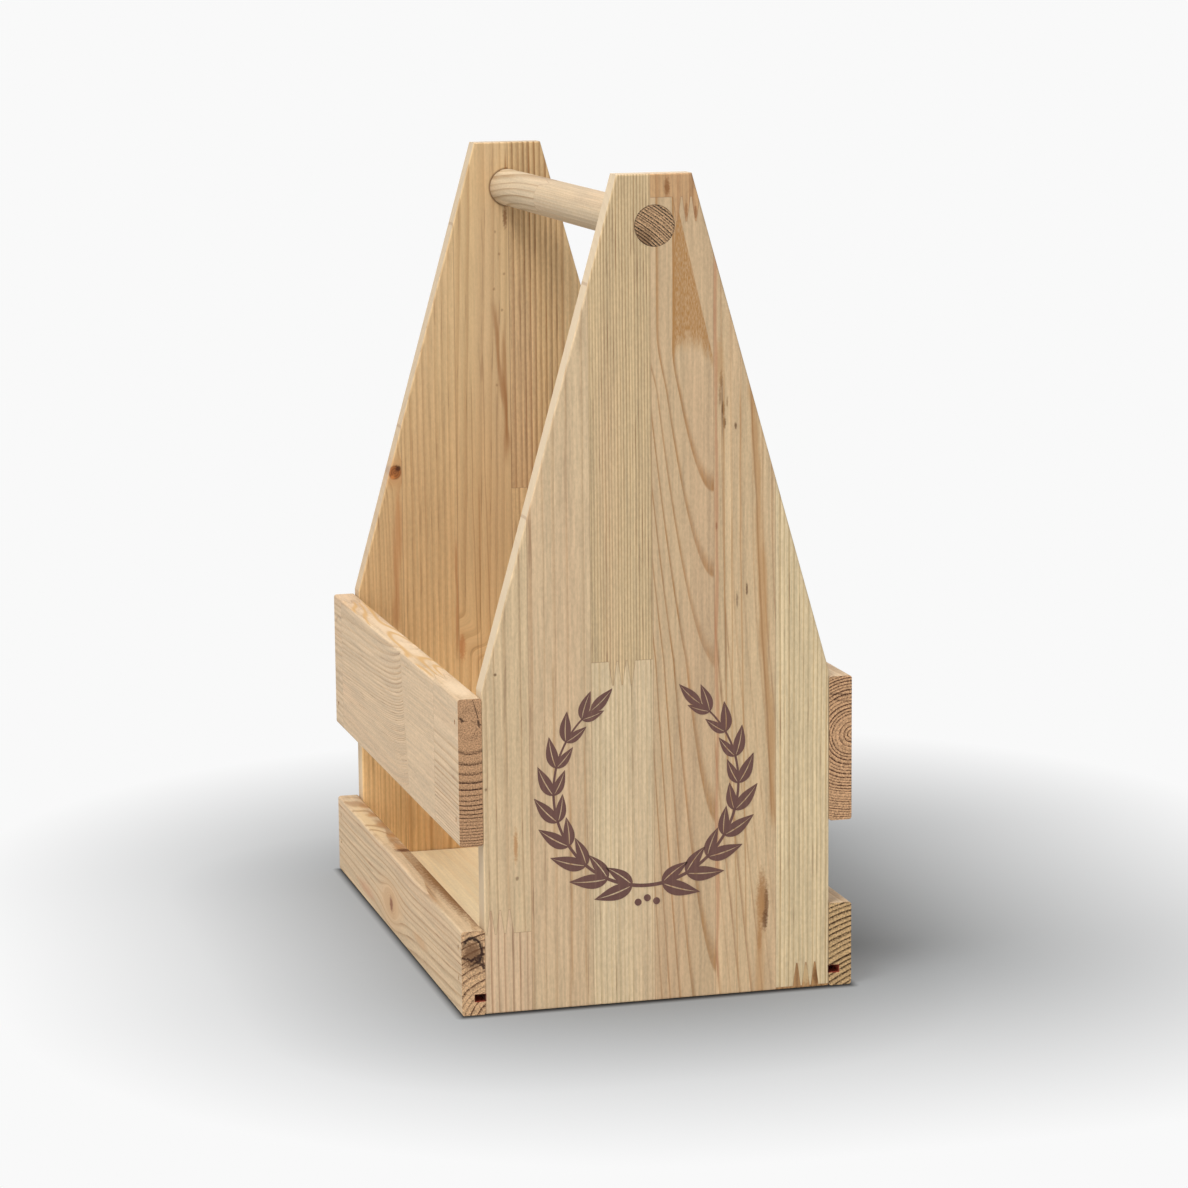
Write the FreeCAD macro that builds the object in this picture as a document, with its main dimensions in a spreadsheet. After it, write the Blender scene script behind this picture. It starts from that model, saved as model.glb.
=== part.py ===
import FreeCAD, Part
import math
import os

import Sketcher

# Wooden bottle caddy. X runs across it, Y along it (front panel at -Y), Z up, floor at Z = 0.

doc = FreeCAD.newDocument("bottle_caddy")

# Driving sizes in millimetres. Each word becomes the alias of a cell.
driving_sizes = {
    "panel_width": 150,
    "panel_height": 346,
    "panel_thickness": 10,
    "panel_easing": 0.8,
    "shoulder_margin": 2.5,
    "crown_width": 32,
    "caddy_length": 260,
    "slat_thickness": 10,
    "slat_easing": 1.2,
    "lower_slat_height": 36,
    "slat_gap": 36,
    "upper_slat_height": 62,
    "board_thickness": 3,
    "board_play": 0.4,
    "groove_rise": 5.6,
    "groove_depth": 4.6,
    "groove_play": 0.3,
    "handle_diameter": 17,
    "handle_drop": 21,
    "bore_play": 0.1,
    "stave_count": 6,
    "stave_width": 26.6,
    "front_glue_line": -1.8,
    "rear_glue_line": 0,
    "finger_pitch": 4,
    "finger_length": 10,
    "finger_tip": 0.6,
    "stave_fingers": 3,
    "slat_fingers": 2,
    "handle_fingers": 3,
    "corner_joint_rise": 34,
    "middle_joint_rise": 146,
    "crown_joint_drop": 9.6,
    "crown_joint_shift": 2,
    "foot_joint_rise": 1,
    "rear_joint_rise": 182.4,
    "slat_front_joint": 45.5,
    "slat_rear_joint": 17,
    "handle_joint": 93,
    "brad_length": 25,
    "brad_width": 1.25,
    "brad_height": 1.05,
    "brad_head_height": 2.1,
    "brad_head_depth": 1,
    "brad_set": 0.6,
    "brad_inset": 6,
    "upper_brad_margin": 10.5,
    "lower_brad_drop": 8,
    "lower_brad_spacing": 13,
}

sizes = doc.addObject("Spreadsheet::Sheet", "sizes")
for row, (word, value) in enumerate(driving_sizes.items(), start=1):
    sizes.set(f"A{row}", word)
    sizes.set(f"B{row}", str(value))
    sizes.setAlias(f"B{row}", word)
doc.recompute()

# Rules shared by several pieces, written in the words of the sheet.
half_width = "sizes.panel_width / 2"
half_length = "sizes.caddy_length / 2"
outer_side = "(sizes.panel_width / 2 + sizes.slat_thickness)"
upper_slat_foot = "(sizes.lower_slat_height + sizes.slat_gap)"
upper_slat_top = f"({upper_slat_foot} + sizes.upper_slat_height)"
shoulder_rise = f"{upper_slat_top} + sizes.shoulder_margin"
handle_rise = "(sizes.panel_height - sizes.handle_drop)"
groove_height = "(sizes.board_thickness + sizes.groove_play)"
nodes = []


def new_body(name):
    return doc.addObject("PartDesign::Body", name)


def new_sketch(body, name, role):
    sketch = body.newObject("Sketcher::SketchObject", name)
    plane = next(item for item in body.Origin.OriginFeatures if item.Role == role)
    sketch.AttachmentSupport = (plane, [""])
    sketch.MapMode = "FlatFace"
    return sketch


def pin_point(sketch, geometry, point, rules):
    # Holds a point at two rules measured from the sketch's origin.
    for direction, rule in zip(("DistanceX", "DistanceY"), rules):
        value = float(sketch.evalExpression(rule))
        constraint = Sketcher.Constraint(direction, -1, 1, geometry, point, value)
        number = sketch.addConstraint(constraint)
        sketch.setExpression(f"Constraints[{number}]", rule)


def point_at(sketch, rules):
    return FreeCAD.Vector(*[float(sketch.evalExpression(rule)) for rule in rules])


def polygon_sketch(body, name, role, *outlines):
    # Closed outlines with every corner held by its own pair of rules.
    sketch = new_sketch(body, name, role)
    for points in outlines:
        first = sketch.GeometryCount
        count = len(points)
        corners = [point_at(sketch, rules) for rules in points]
        for index in range(count):
            sketch.addGeometry(Part.LineSegment(corners[index], corners[(index + 1) % count]))
        for index in range(count):
            following = first + (index + 1) % count
            sketch.addConstraint(Sketcher.Constraint("Coincident", first + index, 2, following, 1))
        for index, rules in enumerate(points):
            pin_point(sketch, first + index, 1, rules)
    return sketch


def circle_sketch(body, name, role, center, diameter):
    # One circle with its centre held by a pair of rules.
    sketch = new_sketch(body, name, role)
    size = float(sketch.evalExpression(diameter))
    sketch.addGeometry(Part.Circle(point_at(sketch, center), FreeCAD.Vector(0, 0, 1), size / 2))
    pin_point(sketch, 0, 3, center)
    number = sketch.addConstraint(Sketcher.Constraint("Diameter", 0, size))
    sketch.setExpression(f"Constraints[{number}]", diameter)
    return sketch


def rectangle(low_x, high_x, low_y, high_y):
    return [(low_x, low_y), (high_x, low_y), (high_x, high_y), (low_x, high_y)]


def centered_rectangle(x, y, width, height):
    return rectangle(f"{x} - {width} / 2", f"{x} + {width} / 2", f"{y} - {height} / 2", f"{y} + {height} / 2")


def pad(body, sketch, length, midplane=False, reverse=False):
    feature = body.newObject("PartDesign::Pad", f"{sketch.Name}_pad")
    feature.Profile = sketch
    feature.setExpression("Length", length)
    feature.Midplane = midplane
    feature.Reversed = reverse
    return feature


def pocket(body, sketch):
    # Cuts through everything on both sides of the sketch and makes sure that it cut.
    doc.recompute()
    before = body.Shape.Volume
    feature = body.newObject("PartDesign::Pocket", f"{sketch.Name}_pocket")
    feature.Profile = sketch
    feature.Type = "ThroughAll"
    feature.Midplane = True
    doc.recompute()
    if body.Shape.Volume >= before:
        raise RuntimeError(f"{feature.Name} removed nothing")
    return feature


def ease_edges(body, radius, wanted):
    # Rounds the edges of the body's last feature whose direction passes the test.
    doc.recompute()
    base = body.Tip
    chosen = []
    for number, edge in enumerate(base.Shape.Edges, start=1):
        direction = edge.tangentAt(edge.FirstParameter)
        if wanted(direction):
            chosen.append(f"Edge{number}")
    feature = body.newObject("PartDesign::Fillet", f"{body.Name}_easing")
    feature.Base = (base, chosen)
    feature.setExpression("Radius", radius)
    return feature


def runs_along_length(direction):
    return abs(direction.y) > 0.99


def runs_round_face(direction):
    return abs(direction.y) < 0.01


def combine(kind, name, base, tool):
    feature = doc.addObject(f"Part::{kind}", name)
    feature.Base = base
    feature.Tool = tool
    return feature


def keep(feature):
    nodes.append(feature)
    return feature


def straight_end(low, high, level):
    return [(low, level), (high, level)]


def finger_count(wanted, width):
    # As many fingers as the joint should have, or as find room across the wood.
    room = (driving_sizes[width] - driving_sizes["finger_tip"]) / driving_sizes["finger_pitch"]
    return min(driving_sizes[wanted], math.floor(room))


def fingered_end(low, high, middle, root, sign, count):
    # Shoulders at the root level with a row of blunt tapered fingers round the middle.
    points = [(low, root)]
    tip = f"{root} {sign} sizes.finger_length"
    blunt = "sizes.finger_tip / 2"
    for number in range(count):
        left = f"{middle} + {number - count / 2} * sizes.finger_pitch"
        points += [
            (f"{left} + {blunt}", root),
            (f"{left} + sizes.finger_pitch / 2 - {blunt}", tip),
            (f"{left} + sizes.finger_pitch / 2 + {blunt}", tip),
            (f"{left} + sizes.finger_pitch - {blunt}", root),
        ]
    return points + [(high, root)]


def finger_strip(name, role, start, end, depth, midplane):
    # A long block between two ends, straight or fingered, that is cut to shape afterwards.
    body = new_body(name)
    sketch = polygon_sketch(body, f"{name}_outline", role, start + end[::-1])
    pad(body, sketch, depth, midplane=midplane)
    return body


def panel_blank(name, place):
    # The glued panel after sawing: straight foot, slanted shoulders, crown and handle bore.
    body = new_body(name)
    crown = "sizes.crown_width / 2"
    points = [
        (f"-{half_width}", "0"),
        (half_width, "0"),
        (half_width, shoulder_rise),
        (crown, "sizes.panel_height"),
        (f"-{crown}", "sizes.panel_height"),
        (f"-{half_width}", shoulder_rise),
    ]
    sketch = polygon_sketch(body, f"{name}_outline", "XZ_Plane", points)
    pad(body, sketch, "sizes.panel_thickness", reverse=True)
    ease_edges(body, "sizes.panel_easing", runs_round_face)
    diameter = "sizes.handle_diameter + 2 * sizes.bore_play"
    pocket(body, circle_sketch(body, f"{name}_bore", "XZ_Plane", ("0", handle_rise), diameter))
    body.setExpression("Placement.Base.y", place)
    return body


def slat_blank(name, side, foot, top):
    # A planed slat outside the panel edges, with its long edges eased.
    body = new_body(name)
    inner = f"{side} * {half_width}"
    outer = f"{side} * {outer_side}"
    low, high = (outer, inner) if side < 0 else (inner, outer)
    sketch = polygon_sketch(body, f"{name}_section", "XZ_Plane", rectangle(low, high, foot, top))
    pad(body, sketch, "sizes.caddy_length", midplane=True)
    ease_edges(body, "sizes.slat_easing", runs_along_length)
    return body


def cut_groove(body, side):
    # The groove for the bottom board, sawn along the whole inner face.
    inner = f"{side} * {half_width}"
    deep = f"{side} * ({half_width} + sizes.groove_depth)"
    low, high = (deep, inner) if side < 0 else (inner, deep)
    top = f"sizes.groove_rise + {groove_height}"
    section = rectangle(low, high, "sizes.groove_rise", top)
    pocket(body, polygon_sketch(body, f"{body.Name}_groove", "XZ_Plane", section))


def brad_holes(name, side, end):
    # Four T-headed brads of flat wire at one corner, with heads that reach the slat's face.
    body = new_body(name)
    depth = f"{end} * ({half_length} - sizes.brad_inset)"
    rises = [
        "sizes.lower_slat_height - sizes.lower_brad_drop - sizes.lower_brad_spacing",
        "sizes.lower_slat_height - sizes.lower_brad_drop",
        f"{upper_slat_foot} + sizes.upper_brad_margin",
        f"{upper_slat_top} - sizes.upper_brad_margin",
    ]
    wide = "sizes.brad_width"
    wires = [centered_rectangle(depth, rise, wide, "sizes.brad_height") for rise in rises]
    tops = [centered_rectangle(depth, rise, wide, "sizes.brad_head_height") for rise in rises]
    inward = side > 0
    shanks = polygon_sketch(body, f"{name}_shanks", "YZ_Plane", *wires)
    pad(body, shanks, "sizes.brad_set + sizes.brad_length", reverse=inward)
    heads = polygon_sketch(body, f"{name}_heads", "YZ_Plane", *tops)
    pad(body, heads, "sizes.brad_set + sizes.brad_head_depth", reverse=inward)
    body.setExpression("Placement.Base.x", f"{side} * {outer_side}")
    return body


def recess_slab(name, side):
    # The outermost skin of a slat side, which the brads are set below.
    slab = doc.addObject("Part::Box", name)
    slab.setExpression("Length", "sizes.brad_set")
    slab.setExpression("Width", "sizes.caddy_length")
    slab.setExpression("Height", "sizes.panel_height")
    start = f"-{outer_side}" if side < 0 else f"{outer_side} - sizes.brad_set"
    slab.setExpression("Placement.Base.x", start)
    slab.setExpression("Placement.Base.y", f"-{half_length}")
    return slab


def make_staves(prefix, panel, glue_line, joints):
    # Slices a drilled panel into its staves, left to right, and a jointed stave into two blocks.
    # Staves count from the glue line nearest the middle; the outer ones reach the panel's sides.
    first = -(driving_sizes["stave_count"] // 2)
    last = first + driving_sizes["stave_count"] - 1
    count = finger_count("stave_fingers", "stave_width")
    for index in range(first, last + 1):
        name = f"{prefix}_stave_{index - first + 1}"
        left = f"sizes.{glue_line} + {index} * sizes.stave_width"
        right = f"sizes.{glue_line} + {index + 1} * sizes.stave_width"
        if index == first:
            left = f"min({left}; -{half_width})"
        if index == last:
            right = f"max({right}; {half_width})"
        foot = straight_end(left, right, "0")
        crown = straight_end(left, right, "sizes.panel_height")
        if index not in joints:
            ends = {name: (foot, crown)}
        else:
            root, sign, shift = joints[index]
            middle = f"sizes.{glue_line} + {index + 0.5} * sizes.stave_width + {shift}"
            joint = fingered_end(left, right, middle, root, sign, count)
            ends = {f"{name}_lower": (foot, joint), f"{name}_upper": (joint, crown)}
        for label, (start, end) in ends.items():
            strip = finger_strip(f"{label}_strip", "XZ_Plane", start, end, "sizes.caddy_length", True)
            keep(combine("Common", label, panel, strip))


def make_slat_blocks(prefix, slat, side, front_joint, rear_joint):
    # Slices a slat into three blocks at two finger joints.
    inner = f"{side} * {half_width}"
    outer = f"{side} * {outer_side}"
    low, high = (outer, inner) if side < 0 else (inner, outer)
    middle = f"{side} * ({half_width} + sizes.slat_thickness / 2)"
    count = finger_count("slat_fingers", "slat_thickness")
    front_end = straight_end(low, high, f"-{half_length}")
    front = fingered_end(low, high, middle, f"-{half_length} + {front_joint}", "+", count)
    rear = fingered_end(low, high, middle, f"{half_length} - {rear_joint}", "-", count)
    rear_end = straight_end(low, high, half_length)
    blocks = {"front": (front_end, front), "middle": (front, rear), "rear": (rear, rear_end)}
    for word, (start, end) in blocks.items():
        label = f"{prefix}_{word}"
        strip = finger_strip(f"{label}_strip", "XY_Plane", start, end, upper_slat_top, False)
        keep(combine("Common", label, slat, strip))


def make_handle():
    # A round stick as long as the caddy, turned from two finger-jointed blocks.
    body = new_body("handle_stick")
    section = circle_sketch(body, "handle_section", "XZ_Plane", ("0", handle_rise), "sizes.handle_diameter")
    pad(body, section, "sizes.caddy_length", midplane=True)
    low, high = "-sizes.handle_diameter / 2", "sizes.handle_diameter / 2"
    count = finger_count("handle_fingers", "handle_diameter")
    front_end = straight_end(low, high, f"-{half_length}")
    joint = fingered_end(low, high, "0", f"{half_length} - sizes.handle_joint", "-", count)
    rear_end = straight_end(low, high, half_length)
    top = f"{handle_rise} + sizes.handle_diameter"
    for label, start, end in (("handle_front", front_end, joint), ("handle_rear", joint, rear_end)):
        strip = finger_strip(f"{label}_strip", "XY_Plane", start, end, top, False)
        keep(combine("Common", label, body, strip))


def make_bottom_board():
    # A thin sheet between the end panels that runs into both grooves.
    body = new_body("bottom_board")
    across = f"({half_width} + sizes.groove_depth - sizes.board_play)"
    along = f"({half_length} - sizes.panel_thickness - sizes.board_play)"
    outline = rectangle(f"-{across}", across, f"-{along}", along)
    sketch = polygon_sketch(body, "bottom_board_outline", "XY_Plane", outline)
    pad(body, sketch, "sizes.board_thickness")
    body.setExpression("Placement.Base.z", "sizes.groove_rise")
    keep(body)


# Brads: one group at each corner, and the same shapes as the tool that drills the wood.
sides = {"left": -1, "right": 1}
ends = {"front": -1, "rear": 1}
slabs = {word: recess_slab(f"{word}_recess", side) for word, side in sides.items()}
drills = []
for end_word, end in ends.items():
    for side_word, side in sides.items():
        corner = f"{end_word}_{side_word}"
        holes = brad_holes(f"brad_holes_{corner}", side, end)
        drills.append(holes)
        keep(combine("Cut", f"brads_{corner}", holes, slabs[side_word]))
all_holes = doc.addObject("Part::Compound", "all_brad_holes")
all_holes.Links = drills

# End panels: glued, sawn, bored and drilled, then listed stave by stave.
# A joint has its shoulder level, the way its fingers point from there, and their shift from the middle.
front_joints = {
    -3: ("sizes.corner_joint_rise", "+", "0"),
    -1: ("sizes.middle_joint_rise", "-", "0"),
    0: ("sizes.panel_height - sizes.crown_joint_drop", "-", "sizes.crown_joint_shift"),
    2: ("sizes.foot_joint_rise", "+", "0"),
}
rear_joints = {0: ("sizes.rear_joint_rise", "-", "0")}
front_panel = panel_blank("front_panel", f"-{half_length}")
rear_panel = panel_blank("rear_panel", f"{half_length} - sizes.panel_thickness")
front_drilled = combine("Cut", "front_panel_drilled", front_panel, all_holes)
rear_drilled = combine("Cut", "rear_panel_drilled", rear_panel, all_holes)
make_staves("front", front_drilled, "front_glue_line", front_joints)
make_staves("rear", rear_drilled, "rear_glue_line", rear_joints)

# Side slats: plain upper ones from three blocks, grooved lower ones from a single block.
# The right upper slat is the left one turned end for end.
slat_joints = {
    "left": ("sizes.slat_front_joint", "sizes.slat_rear_joint"),
    "right": ("sizes.slat_rear_joint", "sizes.slat_front_joint"),
}
for side_word, side in sides.items():
    upper = slat_blank(f"upper_{side_word}_blank", side, upper_slat_foot, upper_slat_top)
    upper_drilled = combine("Cut", f"upper_{side_word}_drilled", upper, all_holes)
    make_slat_blocks(f"upper_{side_word}_slat", upper_drilled, side, *slat_joints[side_word])
    lower = slat_blank(f"lower_{side_word}_blank", side, "0", "sizes.lower_slat_height")
    cut_groove(lower, side)
    keep(combine("Cut", f"lower_{side_word}_slat", lower, all_holes))

make_handle()
make_bottom_board()
doc.recompute()

# Nothing is written unless every object came out whole.
failed = [item.Label for item in doc.Objects if {"Invalid", "Error"} & set(item.State)]
if failed:
    raise RuntimeError(f"failed objects: {failed}")
for node in nodes:
    if node.Shape.isNull() or not node.Shape.isValid() or not node.Shape.Solids:
        raise RuntimeError(f"{node.Label} has no valid solid")


def volume_of(prefix):
    return sum(node.Shape.Volume for node in nodes if node.Label.startswith(prefix))


# The slices together are as large as the piece that they were sliced from.
sliced = {
    "front_stave": front_drilled,
    "rear_stave": rear_drilled,
    "upper_left_slat": doc.getObject("upper_left_drilled"),
    "upper_right_slat": doc.getObject("upper_right_drilled"),
    "handle": doc.getObject("handle_stick"),
}
for prefix, whole in sliced.items():
    if abs(volume_of(prefix) - whole.Shape.Volume) > 1e-6 * whole.Shape.Volume:
        raise RuntimeError(f"{prefix} pieces do not add up to {whole.Label}")

os.makedirs("parts", exist_ok=True)
for node in nodes:
    node.Shape.exportStep(f"parts/{node.Label}.step")
    print(f"{node.Label}: {len(node.Shape.Solids)} solid(s), {node.Shape.Volume / 1000:.2f} cm3")
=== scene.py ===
import math
import bmesh
import bpy
import numpy as np
from mathutils import Matrix, Vector


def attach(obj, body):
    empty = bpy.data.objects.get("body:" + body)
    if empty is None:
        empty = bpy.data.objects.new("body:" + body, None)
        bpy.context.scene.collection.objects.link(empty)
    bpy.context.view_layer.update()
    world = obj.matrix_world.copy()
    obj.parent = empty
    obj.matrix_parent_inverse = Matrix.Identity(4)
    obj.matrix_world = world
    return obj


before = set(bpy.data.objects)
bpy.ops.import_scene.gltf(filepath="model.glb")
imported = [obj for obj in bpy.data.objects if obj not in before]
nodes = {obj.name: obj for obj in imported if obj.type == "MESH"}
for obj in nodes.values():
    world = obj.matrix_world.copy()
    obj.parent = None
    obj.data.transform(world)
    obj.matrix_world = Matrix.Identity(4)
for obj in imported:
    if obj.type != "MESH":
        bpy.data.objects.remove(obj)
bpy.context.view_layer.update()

scene = bpy.context.scene
print("caddy loaded:", len(nodes), "wooden and steel pieces")


# A colour as a paint chart gives it, 0 to 255, made linear: ((c + 0.055) / 1.055) to the power 2.4.
def paint(red, green, blue):
    steps = (np.array((red, green, blue)) / 255 + 0.055) / 1.055
    return (*np.power(steps, 2.4).tolist(), 1.0)


# the tree of nodes that the next functions draw in; a new material puts its own here
drawing = {"tree": None}


# A new node of one kind in that tree, with the inputs that are named.
def newNode(kind, **values):
    node = drawing["tree"].nodes.new("ShaderNode" + kind)
    for word, value in values.items():
        feed(node.inputs[word], value)
    return node


# A socket is linked to another socket, and anything else is set on it as its value.
def feed(socket, value):
    if isinstance(value, bpy.types.NodeSocket):
        drawing["tree"].links.new(value, socket)
    else:
        socket.default_value = value


# One step of arithmetic on numbers, such as a to the power b.
def sums(operation, *values, clamp=False):
    node = newNode("Math")
    node.operation = operation
    node.use_clamp = clamp
    for socket, value in zip(node.inputs, values):
        feed(socket, value)
    return node.outputs[0]


# The product of all the numbers.
def times(first, *others):
    for other in others:
        first = sums("MULTIPLY", first, other)
    return first


# First minus second.
def minus(first, second):
    return sums("SUBTRACT", first, second)


# First times second, plus third.
def timesPlus(first, second, third):
    return sums("MULTIPLY_ADD", first, second, third)


# 1 between low and high, and 0 elsewhere.
def between(value, low, high):
    return times(sums("GREATER_THAN", value, low), sums("LESS_THAN", value, high))


# One step of arithmetic on points; a dot product and a length come out as a number.
def points(operation, *values):
    node = newNode("VectorMath")
    node.operation = operation
    sockets = (node.inputs[0], node.inputs["Scale"]) if operation == "SCALE" else node.inputs
    for socket, value in zip(sockets, values):
        feed(socket, value)
    return node.outputs["Value" if operation in ("DOT_PRODUCT", "LENGTH") else "Vector"]


# The three parts of a point: x, y and z.
def axes(point):
    return newNode("SeparateXYZ", Vector=point).outputs


# Eased step: start below low, end above high, and a smooth S between them.
def eased(value, low, high, start=0.0, end=1.0):
    node = newNode("MapRange")
    node.interpolation_type = "SMOOTHSTEP"
    for socket, number in zip(node.inputs[:5], (value, low, high, start, end)):
        feed(socket, number)
    return node.outputs[0]


# 1 inside a span and 0 outside it, with an eased step of a soft width inside each end.
def spanned(value, low, high, soft):
    return times(eased(value, low, low + soft), eased(value, high - soft, high, 1.0, 0.0))


# Cloudy noise of a point that is first stretched by a factor along each axis: a number and a colour.
def cloud(point, stretch, detail=1.0):
    node = newNode("TexNoise", Vector=points("MULTIPLY", point, stretch), Scale=1.0, Detail=detail)
    return node.outputs["Fac"], node.outputs["Color"]


# Weighted mean of two colours: (1 - share) first + share second.
def blended(share, first, second):
    node = newNode("Mix")
    node.data_type = "RGBA"
    for place, value in ((0, share), (6, first), (7, second)):
        feed(node.inputs[place], value)
    return node.outputs[2]


# Weighted mean of two numbers: first + share (second - first).
def weighed(share, first, second):
    return timesPlus(share, minus(second, first), first)


# A colour times a gain for red, green and blue: colour (1 + share (gain - 1)).
def toned(share, colour, gain):
    over = points("SCALE", [value - 1.0 for value in gain], share)
    return points("MULTIPLY", colour, points("ADD", (1.0, 1.0, 1.0), over))


# A new material: itself, its shader and its coordinates.
def newMaterial(name):
    material = bpy.data.materials.new(name)
    material.use_nodes = True
    drawing["tree"] = material.node_tree
    return material, material.node_tree.nodes["Principled BSDF"], newNode("TexCoord").outputs


# Fine relief: the slope of the height, times the strength, tilts the shader's normal.
def relief(shader, height, strength, depth):
    bump = newNode("Bump", Strength=strength, Distance=depth, Height=height)
    feed(shader.inputs["Normal"], bump.outputs["Normal"])


# what a block may change in the figure, and the figure's own noises: steps per mm across the grain and
# along it, and how many layers of noise lie over each other
pineNumbers = ("ring", "tight", "vary", "fickle", "start", "wander", "dash", "core", "fibre")
pineColours = ("early", "late", "endEarly", "endLate")
pineNoise = {
    "slow": (0.022, 0.006, 1.0), "quick": (0.13, 0.022, 1.0), "fibre": (0.95, 0.035, 3.0),
    "speckle": (1.15, 0.5, 2.0), "streak": (0.34, 0.006, 2.0), "patch": (0.05, 0.004, 1.0),
    "dashes": (0.9, 0.045, 1.0), "pores": (1.7, 0.4, 3.0),
}
pineLook = {"rosy": paint(200, 160, 126), "resin": paint(112, 72, 42), "bowTurn": 30.0, "coreReach": 24.0,
            "shine": 0.3, "relief": (0.35, 0.0003)}


# Pine as a solid. Growth rings are shells round a pith line that leans and bows along the grain:
# r is the distance from that line, the ring number is (r + tight r r r) / ring, and the part after
# the point runs from pale early wood to dark late wood and then drops back at once.
def makePineFigure():
    tree = bpy.data.node_groups.new("pine figure", "ShaderNodeTree")
    drawing["tree"] = tree
    wanted = {"Vector": ("point", "place", "lean", "bow"), "Color": pineColours,
              "Float": ("end", "seed", "contrast") + pineNumbers}
    for kind, words in wanted.items():
        for word in words:
            tree.interface.new_socket(name=word, in_out="INPUT", socket_type="NodeSocket" + kind)
    for word, kind in (("colour", "Color"), ("roughness", "Float"), ("height", "Float")):
        tree.interface.new_socket(name=word, in_out="OUTPUT", socket_type="NodeSocket" + kind)
    given = tree.nodes.new("NodeGroupInput").outputs
    result = tree.nodes.new("NodeGroupOutput").inputs
    point, seed, end = (given[word] for word in ("point", "seed", "end"))
    shifted = points("ADD", given["place"], points("SCALE", (37.1, 17.3, 53.7), seed))
    noise = {}
    for word, (across, along, detail) in pineNoise.items():
        noise[word] = cloud(shifted, (across, across, along), detail)
    fibre, speckle, pores = (noise[word][0] for word in ("fibre", "speckle", "pores"))

    # the pith line and its slow and quick wandering
    along = axes(point)[2]
    turn = pineLook["bowTurn"]
    reach = minus(sums("SQRT", timesPlus(along, along, turn * turn)), turn)
    leaning = points("SCALE", given["lean"], along)
    bowing = points("SCALE", given["bow"], reach)
    bent = points("SUBTRACT", points("SUBTRACT", point, leaning), bowing)
    for word, much in (("slow", 2.0), ("quick", 0.35)):
        sway = points("SUBTRACT", noise[word][1], (0.5, 0.5, 0.5))
        bent = points("ADD", bent, points("SCALE", sway, times(given["wander"], much)))
    radius = points("LENGTH", points("MULTIPLY", bent, (1.0, 1.0, 0.0)))

    # ring number, with years of more and less growth
    grown = timesPlus(sums("POWER", radius, 3.0), given["tight"], radius)
    ringRaw = sums("DIVIDE", grown, given["ring"])
    years = newNode("TexNoise", Scale=1.0, Detail=1.0)
    years.noise_dimensions = "1D"
    feed(years.inputs["W"], timesPlus(ringRaw, 0.37, seed))
    ringCount = timesPlus(years.outputs["Fac"], given["vary"], ringRaw)
    season = sums("FRACT", ringCount)
    oneYear = newNode("TexWhiteNoise")
    oneYear.noise_dimensions = "1D"
    feed(oneYear.inputs["W"], timesPlus(seed, 7.3, sums("FLOOR", ringCount)))
    yearTone = minus(1.0, times(oneYear.outputs["Value"], given["fickle"]))
    darkening = eased(season, given["start"], 0.94)
    ringTone = times(darkening, eased(season, 0.955, 1.0, 1.0, 0.0), yearTone)

    # flat grain: rings that fade round the pith, pinkish patches, fine light and dark, short resin dashes
    core = times(given["core"], eased(radius, 2.0, pineLook["coreReach"], 0.85, 0.0))
    clear = minus(1.0, core)
    broken = times(ringTone, eased(fibre, 0.3, 0.7, 0.7, 1.15), clear)
    late = sums("MULTIPLY", broken, given["contrast"], clamp=True)
    wood = blended(late, given["early"], given["late"])
    rosy = blended(eased(noise["patch"][0], 0.5, 0.72, 0.0, 0.2), wood, pineLook["rosy"])
    light = eased(fibre, 0.28, 0.72, -0.10, 0.09)
    light = sums("ADD", light, eased(speckle, 0.3, 0.7, -0.06, 0.06))
    light = sums("ADD", light, eased(noise["streak"][0], 0.25, 0.75, -0.09, 0.09))
    lit = points("SCALE", rosy, timesPlus(light, given["fibre"], 1.0))
    dashes = eased(noise["dashes"][0], 0.58, 0.70)
    resin = times(dashes, given["dash"], sums("ADD", late, 0.12))
    side = blended(resin, lit, pineLook["resin"])

    # end grain: thin dark rings, broken by open pores, that fade round the pith
    endTone = times(sums("POWER", ringTone, 1.3), clear)
    brokenTone = sums("MULTIPLY", endTone, eased(pores, 0.32, 0.62, 0.85, 1.65), clamp=True)
    endRings = blended(brokenTone, given["endEarly"], given["endLate"])
    ends = points("SCALE", endRings, eased(pores, 0.28, 0.72, 1.3, 0.62))

    feed(result["colour"], blended(end, side, ends))
    feed(result["roughness"], timesPlus(end, 0.12, timesPlus(fibre, 0.22, 0.5)))
    ridges = timesPlus(late, 0.35, timesPlus(fibre, 0.6, times(speckle, 0.3)))
    feed(result["height"], weighed(end, ridges, times(pores, -1.4)))
    return tree


pineFigure = makePineFigure()

# glue lines: how dark, how wide in mm, the width of the staves, and the shape of the sawn fingers
glue = {"tone": paint(126, 84, 58), "share": 0.34, "half": 0.09, "soft": 0.16, "stave": 26.6, "pitch": 4.0,
        "length": 10.0, "blunt": 0.3}


# Distance from the zigzag of a finger joint: inside the row the line climbs from the shoulder to the
# finger length and back over each pitch; on a flank the distance is the gap times the flank's slope.
def fingerLine(here, joint):
    across = minus(axes(here)[0], joint["start"])
    along = minus(points("DOT_PRODUCT", here, joint["along"]), joint["shoulder"])
    inRow = between(across, 0.0, joint["count"] * glue["pitch"])
    half = glue["pitch"] / 2
    flank = half - 2 * glue["blunt"]
    wave = sums("PINGPONG", across, half)
    climb = sums("DIVIDE", minus(wave, glue["blunt"]), flank, clamp=True)
    gap = sums("ABSOLUTE", minus(along, times(climb, glue["length"], inRow)))
    leaning = 1 - 1 / math.hypot(1, glue["length"] / flank)
    onFlank = times(between(climb, 0.0, 1.0), inRow)
    return times(gap, timesPlus(onFlank, -leaning, 1.0))


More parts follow.
